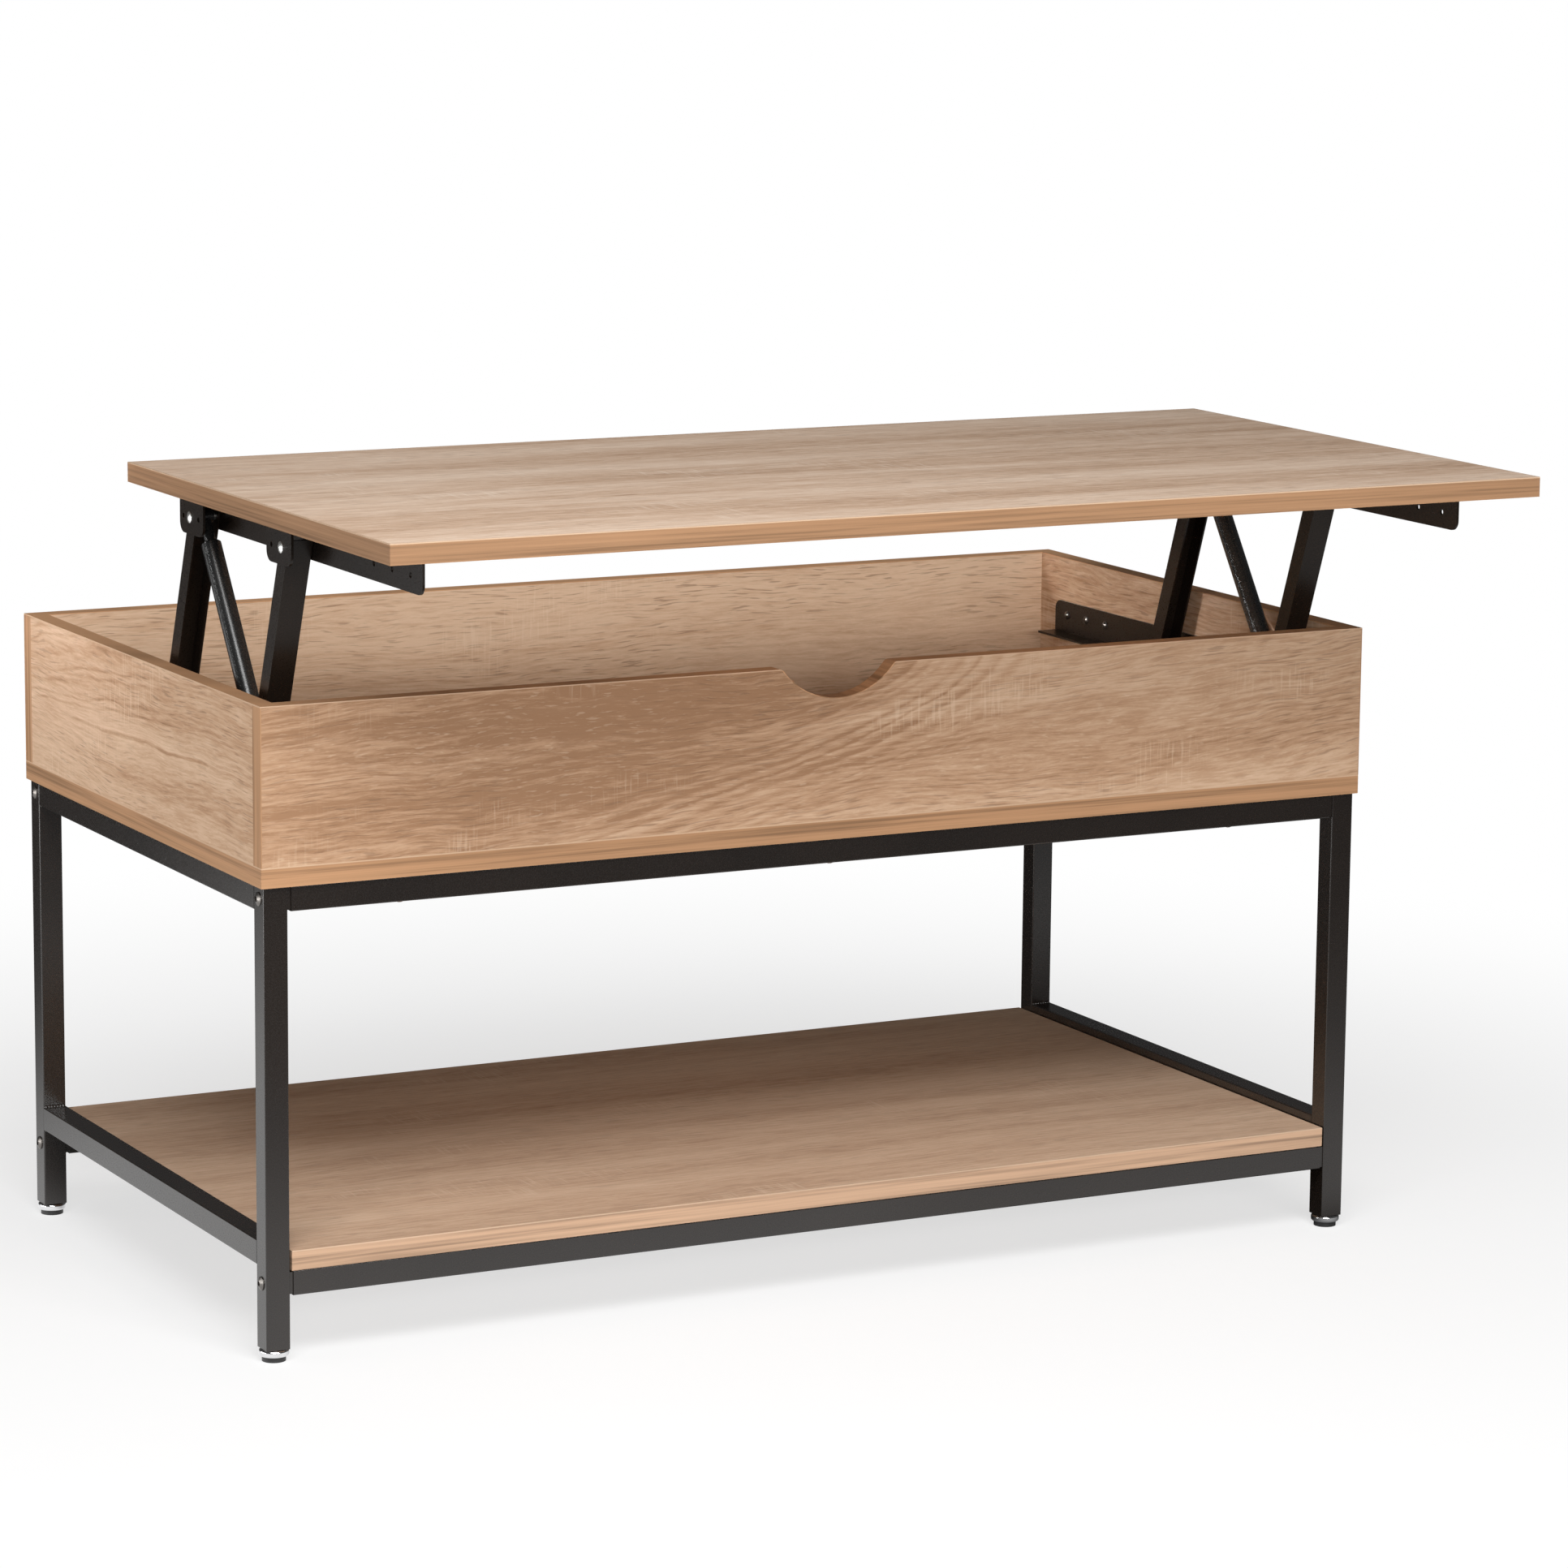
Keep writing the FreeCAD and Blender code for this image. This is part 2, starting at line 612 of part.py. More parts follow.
# Frame: two welded end frames of two legs and two side rails, tied by four bolted long rails.
def make_frame():
    bolt_heights = [f"{z} + tube_side / 2 - foot_height" for z in ("upper_rail_z", "lower_rail_clearance")]
    for end, way in ENDS:
        y = f"({way}) * leg_y"
        for side, sign in SIDES:
            name = f"leg_{end}_{side}"
            leg = tube(name, "z", "leg_length")
            drill = sketch_on(leg, f"{name}_drill", "YZ_Plane")
            for height in bolt_heights:
                circle(drill, "frame_bolt_radius + bolt_hole_clearance", ("0", height))
            pocket(leg, f"{name}_bolt_holes", drill, side="Symmetric")
            node(name, place(leg, f"({sign}) * leg_x", y, "foot_height"))
        for level, z in (("upper", "upper_rail_z"), ("lower", "lower_rail_clearance")):
            name = f"{level}_{end}_rail"
            rail = tube(name, "x", "long_rail")
            drill = sketch_on(rail, f"{name}_drill", "XY_Plane")
            for share in RAIL_SCREW_SHARES:
                x = f"{share} * long_rail" if share else "0"
                circle(drill, "rail_screw_radius + bolt_hole_clearance", (x, "0"))
            pocket(rail, f"{name}_screw_holes", drill, side="Symmetric")
            node(name, place(rail, "0", y, f"{z} + tube_side / 2"))
    for side, sign in SIDES:
        for level, z in (("upper", "upper_rail_z"), ("lower", "side_rail_z")):
            name = f"{level}_side_rail_{side}"
            rail = tube(name, "y", "between_legs_y")
            node(name, place(rail, f"({sign}) * leg_x", "0", f"{z} + tube_side / 2"))


bolt_places = [(sign * value("frame_half_x"), way * value("leg_y"), z + value("tube_side") / 2,
                upright if sign < 0 else ABOUT_FACE)
               for side, sign in SIDES for end, way in ENDS
               for z in (value("upper_rail_z"), value("lower_rail_clearance"))]


def make_frame_fasteners():
    reach = "tube_side + end_plate + frame_bolt_tail"
    shank = rod("bolt_shank", "x", "frame_bolt_radius", reach, "0", "0", "0")
    head = domed_head("bolt_head", "x", -1, "frame_bolt_head_radius", "frame_bolt_head", ("0", "0", "0"))
    socket = bind(doc.addObject("Part::Prism", "bolt_socket"), Circumradius="frame_bolt_socket_radius",
                  Height="frame_bolt_socket_depth + overrun")
    socket.Polygon = 6
    socket.Placement = FreeCAD.Placement(FreeCAD.Vector(), ALONG["x"])
    place(socket, "-frame_bolt_head - overrun", "0", "0")
    bolt = less("frame_bolt", joined("bolt_blank", [shank, head]), [socket])
    node("frame_bolts", copies("frame_bolts", bolt, bolt_places))
    thread = "frame_bolt_radius + thread_clearance"
    plate_side = "tube_side - 2 * end_plate_step"
    slab = block("plate_slab", ("tube_side + end_plate / 2", "end_plate"), ("0", plate_side),
                 (f"-({plate_side}) / 2", plate_side))
    plate_thread = rod("plate_thread", "x", thread, "end_plate", "tube_side", "0", "0")
    plate = less("end_plate_blank", slab, [plate_thread])
    node("rail_end_plates", copies("rail_end_plates", plate, bolt_places))
    hexagon = bind(doc.addObject("Part::Prism", "nut_hexagon"), Circumradius="nut_radius",
                   Height="nut_height")
    hexagon.Polygon = 6
    hexagon.Placement = FreeCAD.Placement(FreeCAD.Vector(), ALONG["x"])
    place(hexagon, "tube_side + end_plate", "0", "0")
    nut_thread = rod("nut_thread", "x", thread, "nut_height", "tube_side + end_plate", "0", "0")
    nut = less("rail_nut", hexagon, [nut_thread])
    node("rail_nuts", copies("rail_nuts", nut, bolt_places))


# Levelling feet: a chromed cap and stud on a black pad, screwed into an insert in the end of each leg.
def make_feet():
    inserts = []
    plug_side = "tube_side - 2 * tube_wall - 2 * screw_fit"
    for end, way in ENDS:
        for side, sign in SIDES:
            x = f"({sign}) * leg_x"
            y = f"({way}) * leg_y"
            corner = f"{end}_{side}"
            plug = block(f"plug_{corner}", (x, plug_side), (y, plug_side), ("foot_height", "insert_height"))
            bore = rod(f"plug_bore_{corner}", "z", "foot_stud_radius + thread_clearance", "insert_height",
                       x, y, "foot_height")
            inserts.append(less(f"insert_{corner}", plug, [bore]))
            foot = doc.addObject("PartDesign::Body", f"foot_{corner}")
            seat = "foot_height - foot_seat_gap"
            turned(foot, f"foot_{corner}_cap", [
                ("0", "foot_pad_height"), ("foot_cap_radius", "foot_pad_height"), ("foot_cap_radius", seat),
                ("foot_stud_radius", seat), ("foot_stud_radius", f"{seat} + foot_stud_length"),
                ("0", f"{seat} + foot_stud_length")])
            soften(foot, f"foot_{corner}_rim", "foot_cap_round", value("foot_cap_radius"))
            node(f"foot_{corner}", place(foot, x, y, "0"))
            pad_body = doc.addObject("PartDesign::Body", f"foot_pad_{corner}")
            turned(pad_body, f"foot_pad_{corner}_disc", [
                ("0", "0"), ("foot_pad_radius", "0"), ("foot_pad_radius", "foot_pad_height"),
                ("0", "foot_pad_height")])
            node(f"foot_pad_{corner}", place(pad_body, x, y, "0"))
    node("leg_inserts", grouped("leg_inserts", inserts))


def soften(body, name, radius, circle_radius):
    """Rounds the circular edges of one radius."""
    doc.recompute()
    tip = body.Tip
    names = [f"Edge{index}" for index, edge in enumerate(tip.Shape.Edges, 1)
             if edge.Curve.TypeId == "Part::GeomCircle" and abs(edge.Curve.Radius - circle_radius) < NEAR]
    feature = body.newObject("PartDesign::Fillet", name)
    feature.Base = (tip, names)
    return bind(feature, Radius=radius)


# Lift arms: folded channels that open towards the strut, drawn upright from the lower pivot.
def make_arm(name, web_sign, y):
    body = doc.addObject("PartDesign::Body", name)
    side = sketch_on(body, f"{name}_side", "YZ_Plane")
    rectangle(side, ("-arm_depth / 2", "arm_depth / 2"), ("-arm_depth / 2", "arm_length + arm_head"))
    pad(body, f"{name}_blank", side, "arm_width", "Symmetric")
    foot_z = -value("arm_depth") / 2
    rounded(body, f"{name}_foot", "arm_foot_round",
            lambda edge, middle: runs_along(edge, X_AXIS) and abs(middle.z - foot_z) < NEAR
            and abs(abs(middle.y) - value("arm_depth") / 2) < NEAR)
    head_z = value("arm_length") + value("arm_head")
    rounded(body, f"{name}_head", "arm_head_round",
            lambda edge, middle: runs_along(edge, X_AXIS) and abs(middle.z - head_z) < NEAR
            and abs(middle.y + web_sign * value("arm_depth") / 2) < NEAR)
    hollow = sketch_on(body, f"{name}_hollow", "YZ_Plane")
    inner_face = f"({web_sign}) * (arm_depth / 2 - arm_wall)"
    open_side = f"({-web_sign}) * arm_depth"
    rectangle(hollow, (inner_face, open_side), ("-arm_depth", "arm_length + 2 * arm_head"))
    pocket(body, f"{name}_channel", hollow, "arm_width - 2 * arm_wall", "Symmetric")
    eyes = sketch_on(body, f"{name}_eyes", "YZ_Plane")
    for height in ("0", "arm_length"):
        circle(eyes, "pivot_radius + pivot_clearance", ("0", height))
    pocket(body, f"{name}_pivot_holes", eyes, side="Symmetric")
    body.Placement = FreeCAD.Placement(FreeCAD.Vector(), FreeCAD.Rotation(X_AXIS, value("arm_raised_angle")))
    body.setExpression("Placement.Rotation.Angle", in_sheet("90 - arm_raised_angle"))
    return place(body, "arm_x", y, "pivot_z")


# Upper bracket: a long inner wall, a web that is screwed to the top, and two outer ears for the arms.
# Drawn about the rear upper pivot.
def make_upper_bracket():
    name = "upper_bracket"
    body = doc.addObject("PartDesign::Body", name)
    angle = sketch_on(body, f"{name}_angle", "XZ_Plane", "-bracket_end")
    outline(angle, [
        ("-ear_back", "upper_pivot_drop"),
        ("ear_back", "upper_pivot_drop"),
        ("ear_back", "upper_pivot_drop - sheet"),
        ("-ear_face", "upper_pivot_drop - sheet"),
        ("-ear_face", "upper_pivot_drop - upper_wall_height"),
        ("-ear_back", "upper_pivot_drop - upper_wall_height"),
    ])
    pad(body, f"{name}_profile", angle, "upper_length")
    ears = sketch_on(body, f"{name}_ears", "YZ_Plane", "ear_face")
    ear_foot = "upper_pivot_drop - ear_height"
    rectangle(ears, ("bracket_end - ear_width", "bracket_end"), (ear_foot, "upper_pivot_drop"))
    rectangle(ears, ("-arm_length - bracket_end", "ear_width - arm_length - bracket_end"),
              (ear_foot, "upper_pivot_drop"))
    pad(body, f"{name}_ear_plates", ears, "sheet")
    ear_z = value("upper_pivot_drop") - value("ear_height")
    rounded(body, f"{name}_ear_corners", "ear_corner",
            lambda edge, middle: runs_along(edge, X_AXIS) and abs(middle.z - ear_z) < NEAR)
    wall_z = value("upper_pivot_drop") - value("upper_wall_height")
    tail_y = value("bracket_end") - value("upper_length")
    rounded(body, f"{name}_tail_corner", "tail_corner",
            lambda edge, middle: runs_along(edge, X_AXIS) and abs(middle.z - wall_z) < NEAR
            and abs(middle.y - tail_y) < NEAR)
    holes = sketch_on(body, f"{name}_hole_row", "YZ_Plane")
    for y in ("0", "-arm_length"):
        circle(holes, "pivot_radius + pivot_clearance", (y, "0"))
    for step in tail_steps:
        y = f"tail_hole_end + {step} * tail_hole_pitch - arm_length - upper_tail"
        circle(holes, "tail_hole_radius", (y, "upper_pivot_drop - tail_hole_drop"))
    pocket(body, f"{name}_holes", holes, side="Symmetric")
    spare = sketch_on(body, f"{name}_spare_row", "YZ_Plane", "ear_back")
    for y in ("ear_hole_back", "-ear_hole_ahead", "-arm_length + ear_hole_ahead"):
        circle(spare, "ear_hole_radius", (y, "0"))
    pocket(body, f"{name}_spare_holes", spare, "sheet")
    seats = sketch_on(body, f"{name}_screw_row", "XY_Plane", "upper_pivot_drop")
    for share in TOP_SCREW_ARM_SHARES:
        circle(seats, "tail_hole_radius", ("0", f"-{share} * arm_length"))
    for share in TOP_SCREW_TAIL_SHARES:
        circle(seats, "tail_hole_radius", ("0", f"-arm_length - {share} * upper_tail"))
    pocket(body, f"{name}_screw_holes", seats, "sheet")
    return place(body, "arm_x", "upper_rear_y", "upper_pivot_z")


# Base bracket: a long outer wall screwed to the case, a web under the arms, and two inner ears.
# Drawn about the rear lower pivot.
def make_base_bracket():
    name = "base_bracket"
    body = doc.addObject("PartDesign::Body", name)
    angle = sketch_on(body, f"{name}_angle", "XZ_Plane", "-base_tail")
    outline(angle, [
        ("arm_offset", "-base_pivot_height"),
        ("arm_offset", "base_wall_height - base_pivot_height"),
        ("arm_offset - sheet", "base_wall_height - base_pivot_height"),
        ("arm_offset - sheet", "sheet - base_pivot_height"),
        ("arm_offset - base_tail_width", "sheet - base_pivot_height"),
        ("arm_offset - base_tail_width", "-base_pivot_height"),
    ])
    pad(body, f"{name}_profile", angle, "base_length")
    web = sketch_on(body, f"{name}_web", "XY_Plane", "-base_pivot_height")
    rectangle(web, ("-ear_back", "arm_offset"), ("-arm_length - base_ear_half", "base_ear_half"))
    pad(body, f"{name}_web_plate", web, "sheet")
    ears = sketch_on(body, f"{name}_ears", "YZ_Plane", "-ear_back")
    for y in ("0", "-arm_length"):
        ear_span = (f"{y} - base_ear_half", f"{y} + base_ear_half")
        rectangle(ears, ear_span, ("-base_pivot_height", "base_ear_top"))
    pad(body, f"{name}_ear_plates", ears, "sheet")
    rounded(body, f"{name}_ear_corners", "base_ear_corner",
            lambda edge, middle: runs_along(edge, X_AXIS)
            and abs(middle.z - value("base_ear_top")) < NEAR)
    wall_top = value("base_wall_height") - value("base_pivot_height")
    rounded(body, f"{name}_tail_corner", "tail_corner",
            lambda edge, middle: runs_along(edge, X_AXIS) and abs(middle.z - wall_top) < NEAR
            and abs(middle.y - value("base_tail")) < NEAR)
    eyes = sketch_on(body, f"{name}_eyes", "YZ_Plane", "-ear_face")
    for y in ("0", "-arm_length"):
        circle(eyes, "pivot_radius + pivot_clearance", (y, "0"))
    pocket(body, f"{name}_pivot_holes", eyes, "sheet")
    seats = sketch_on(body, f"{name}_screw_row", "YZ_Plane", "arm_offset")
    for step in tail_steps:
        y = f"base_tail - tail_hole_end - {step} * tail_hole_pitch"
        circle(seats, "tail_hole_radius", (y, "tail_hole_drop - base_pivot_height"))
    for share in BASE_SCREW_SHARES:
        circle(seats, "tail_hole_radius", (f"-{share} * arm_length", "tail_hole_drop - base_pivot_height"))
    pocket(body, f"{name}_screw_holes", seats, "sheet")
    return place(body, "arm_x", "rear_pivot_y", "pivot_z")


# Pivots: rivets through the upper bracket, and shouldered studs that stand on the base bracket's wall.
def make_pivots():
    rivets = []
    for where, y in (("rear", "upper_rear_y"), ("front", "upper_front_y")):
        name = f"rivet_{where}"
        shank = rod(f"{name}_shank", "x", "pivot_radius", "2 * ear_back", "arm_x - ear_back", y,
                    "upper_pivot_z")
        outer = domed_head(f"{name}_outer", "x", 1, "pivot_head_radius", "pivot_head",
                           ("arm_x + ear_back", y, "upper_pivot_z"))
        inner = domed_head(f"{name}_inner", "x", -1, "pivot_head_radius", "pivot_head",
                           ("arm_x - ear_back", y, "upper_pivot_z"))
        rivets.append(joined(name, [shank, outer, inner]))
    studs = []
    for where, y in (("rear", "rear_pivot_y"), ("front", "front_pivot_y")):
        name = f"stud_{where}"
        shoulder = rod(f"{name}_shoulder", "x", "pivot_shoulder_radius", "arm_offset - sheet - ear_face",
                       "arm_x + ear_face", y, "pivot_z")
        shank = rod(f"{name}_shank", "x", "pivot_radius", "ear_back + ear_face", "arm_x - ear_back", y,
                    "pivot_z")
        inner = domed_head(f"{name}_inner", "x", -1, "pivot_head_radius", "pivot_head",
                           ("arm_x - ear_back", y, "pivot_z"))
        studs.append(joined(name, [shoulder, shank, inner]))
    return grouped("upper_rivets", rivets), grouped("lower_studs", studs)


# Spring struts: a cylinder that hangs from the rear upper pivot, and a rod on the front lower pivot.
def lean_with_strut(body, y, z):
    body.Placement = FreeCAD.Placement(FreeCAD.Vector(), FreeCAD.Rotation(X_AXIS, 1))
    body.setExpression("Placement.Rotation.Angle", in_sheet("-arm_raised_angle / 2"))
    return place(body, "arm_x", y, z)


def add_eye(body, name):
    """A round eye about the body's X axis, bored for a pivot."""
    lug = sketch_on(body, f"{name}_lug", "YZ_Plane")
    circle(lug, "eye_radius", ("0", "0"))
    pad(body, f"{name}_eye", lug, "eye_width", "Symmetric")
    bore = sketch_on(body, f"{name}_bore", "YZ_Plane")
    circle(bore, "pivot_radius + pivot_clearance", ("0", "0"))
    pocket(body, f"{name}_eye_hole", bore, side="Symmetric")


def make_strut():
    cylinder = doc.addObject("PartDesign::Body", "strut_cylinder")
    turned(cylinder, "strut_tube", [
        ("0", "0"),
        ("neck_radius", "0"),
        ("neck_radius", "-strut_start"),
        ("strut_radius - strut_end_round", "-strut_start"),
        ("strut_radius", "-strut_start - strut_end_round"),
        ("strut_radius", "-strut_mouth"),
        ("strut_bore", "-strut_mouth"),
        ("strut_bore", "-strut_start - strut_cap"),
        ("0", "-strut_start - strut_cap"),
    ])
    add_eye(cylinder, "cylinder")
    guide = doc.addObject("PartDesign::Body", "strut_guide")
    turned(guide, "guide_ring", [
        ("rod_radius + rod_clearance", "-strut_mouth"), ("strut_bore - screw_fit", "-strut_mouth"),
        ("strut_bore - screw_fit", "guide_length - strut_mouth"),
        ("rod_radius + rod_clearance", "guide_length - strut_mouth")])
    plunger = doc.addObject("PartDesign::Body", "strut_rod")
    turned(plunger, "rod_bar", [
        ("0", "0"),
        ("rod_radius", "0"),
        ("rod_radius", "rod_tip - piston_length"),
        ("strut_bore - piston_clearance", "rod_tip - piston_length"),
        ("strut_bore - piston_clearance", "rod_tip"),
        ("0", "rod_tip"),
    ])
    add_eye(plunger, "rod")
    lean_with_strut(cylinder, "upper_rear_y", "upper_pivot_z")
    lean_with_strut(guide, "upper_rear_y", "upper_pivot_z")
    lean_with_strut(plunger, "front_pivot_y", "pivot_z")
    return cylinder, guide, plunger


def make_lift():
    rivets, studs = make_pivots()
    cylinder, guide, plunger = make_strut()
    pieces = {
        "upper_bracket": make_upper_bracket(),
        "base_bracket": make_base_bracket(),
        "rear_arm": make_arm("rear_arm", 1, "rear_pivot_y"),
        "front_arm": make_arm("front_arm", -1, "front_pivot_y"),
        "upper_pivot_rivets": rivets,
        "lower_pivot_studs": studs,
        "strut_cylinder": cylinder,
        "strut_guide": guide,
        "strut_rod": plunger,
    }
    for name, piece in pieces.items():
        node(f"{name}_right", piece)
        node(f"{name}_left", mirrored(f"{name}_left", piece))


def check_and_write():
    doc.recompute()
    for thing in doc.Objects:
        if "Invalid" in thing.State or "Error" in thing.State:
            raise RuntimeError(f"{thing.Name} failed: {thing.State}")
    for label, thing in nodes.items():
        if thing.Shape.isNull() or not thing.Shape.isValid() or not thing.Shape.Solids:
            raise RuntimeError(f"{label} has no valid solid")
    os.makedirs("parts", exist_ok=True)
    for label, thing in nodes.items():
        thing.Shape.exportStep(f"parts/{label}.step")
    print(len(nodes), "sub-parts, travel", value("arm_closed_angle") - value("arm_raised_angle"), "degrees")
    for name in ("arm_x", "front_pivot_y", "rear_pivot_y", "pivot_z", "upper_rear_y", "upper_pivot_z",
                 "top_shift"):
        print(name, value(name))


make_level_boards()
make_walls()
make_frame()
make_frame_fasteners()
make_feet()
make_lift()
check_and_write()
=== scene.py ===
import math
import bpy
from mathutils import Matrix, Vector


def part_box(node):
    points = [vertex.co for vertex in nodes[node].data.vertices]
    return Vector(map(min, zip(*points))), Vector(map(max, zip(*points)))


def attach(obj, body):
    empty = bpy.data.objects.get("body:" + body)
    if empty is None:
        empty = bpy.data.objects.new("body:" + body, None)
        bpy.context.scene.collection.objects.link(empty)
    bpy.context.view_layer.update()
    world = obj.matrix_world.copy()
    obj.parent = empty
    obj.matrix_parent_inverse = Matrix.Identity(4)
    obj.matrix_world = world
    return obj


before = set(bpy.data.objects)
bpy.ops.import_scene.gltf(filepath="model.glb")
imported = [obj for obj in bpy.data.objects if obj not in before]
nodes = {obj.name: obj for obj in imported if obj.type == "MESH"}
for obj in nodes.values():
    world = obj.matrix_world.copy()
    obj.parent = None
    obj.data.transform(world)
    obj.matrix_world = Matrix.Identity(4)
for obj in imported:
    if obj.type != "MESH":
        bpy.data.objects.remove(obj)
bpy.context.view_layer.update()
table_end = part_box("wall_edge_bands")[1][0]


class Finish:
    """One finish, built up as a tree of shader nodes on the Principled shader."""

    def __init__(self, name):
        self.material = bpy.data.materials.new(name)
        self.material.use_nodes = True
        self.tree = self.material.node_tree
        self.shader = self.tree.nodes["Principled BSDF"]
        self.place = self.add("ShaderNodeTexCoord").outputs["Object"]

    def add(self, kind, **settings):
        made = self.tree.nodes.new(kind)
        for name, setting in settings.items():
            setattr(made, name, setting)
        return made

    def feed(self, socket, source):
        if isinstance(source, bpy.types.NodeSocket):
            self.tree.links.new(source, socket)
        else:
            socket.default_value = source

    def set(self, **inputs):
        for name, source in inputs.items():
            self.feed(self.shader.inputs[name.replace("_", " ")], source)

    def math(self, operation, *sources):
        made = self.add("ShaderNodeMath", operation=operation)
        for socket, source in zip(made.inputs, sources):
            self.feed(socket, source)
        return made.outputs[0]

    def square_sum(self, u, v):
        return self.math("ADD", self.math("MULTIPLY", u, u), self.math("MULTIPLY", v, v))

    def axes(self, order):
        """The object's coordinates as separate sockets, in the order asked for."""
        split = self.add("ShaderNodeSeparateXYZ")
        self.feed(split.inputs[0], self.place)
        return [split.outputs[letter] for letter in order]

    def point(self, *parts):
        made = self.add("ShaderNodeCombineXYZ")
        for socket, source in zip(made.inputs, parts):
            self.feed(socket, source)
        return made.outputs[0]

    def noise(self, place, detail, scale=1.0, roughness=0.5):
        made = self.add("ShaderNodeTexNoise")
        self.feed(made.inputs["Vector"], place)
        made.inputs["Scale"].default_value = scale
        made.inputs["Detail"].default_value = detail
        made.inputs["Roughness"].default_value = roughness
        return made.outputs[0]

    def streaks(self, along, across, along_scale, across_scale, shift, **settings):
        """Noise drawn out along the grain."""
        u = self.math("MULTIPLY", along, along_scale)
        v = self.math("MULTIPLY", across, across_scale)
        return self.noise(self.point(u, v, shift), **settings)

    def sway(self, *places, detail):
        """Streaks that swing evenly to both sides of zero."""
        return self.math("SUBTRACT", self.streaks(*places, detail=detail), 0.5)

    def between(self, source, low, high, to_low=0.0, to_high=1.0):
        """Part of a range, stretched smoothly to another range."""
        made = self.add("ShaderNodeMapRange", interpolation_type="SMOOTHSTEP")
        for socket, item in zip(made.inputs, (source, low, high, to_low, to_high)):
            self.feed(socket, item)
        return made.outputs[0]

    def peak(self, source, start, top, end):
        """Rises from 0 at the start to 1 at the top, and falls to 0 at the end."""
        rise = self.between(source, start, top)
        fall = self.between(source, top, end, 1.0, 0.0)
        return self.math("MULTIPLY", rise, fall)

    def pick(self, factor, first, second):
        """The first value where the factor is 0, the second where it is 1."""
        made = self.add("ShaderNodeMix", data_type="FLOAT")
        for index, source in ((0, factor), (2, first), (3, second)):
            self.feed(made.inputs[index], source)
        return made.outputs[0]

    def tint(self, factor, first, second, mode="MIX"):
        made = self.add("ShaderNodeMix", data_type="RGBA", blend_type=mode)
        self.feed(made.inputs[0], factor)
        for socket, colour in ((made.inputs[6], first), (made.inputs[7], second)):
            self.feed(socket, colour if isinstance(colour, bpy.types.NodeSocket) else (*colour, 1.0))
        return made.outputs[2]

    def ramp(self, factor, stops):
        made = self.add("ShaderNodeValToRGB")
        self.feed(made.inputs[0], factor)
        elements = made.color_ramp.elements
        while len(elements) < len(stops):
            elements.new(0.5)
        for element, (spot, colour) in zip(elements, stops):
            element.position = spot
            element.color = (*colour, 1.0)
        return made.outputs[0]

    def relief(self, height, depth, strength):
        made = self.add("ShaderNodeBump")
        made.inputs["Strength"].default_value = strength
        made.inputs["Distance"].default_value = depth
        self.feed(made.inputs["Height"], height)
        self.feed(self.shader.inputs["Normal"], made.outputs[0])


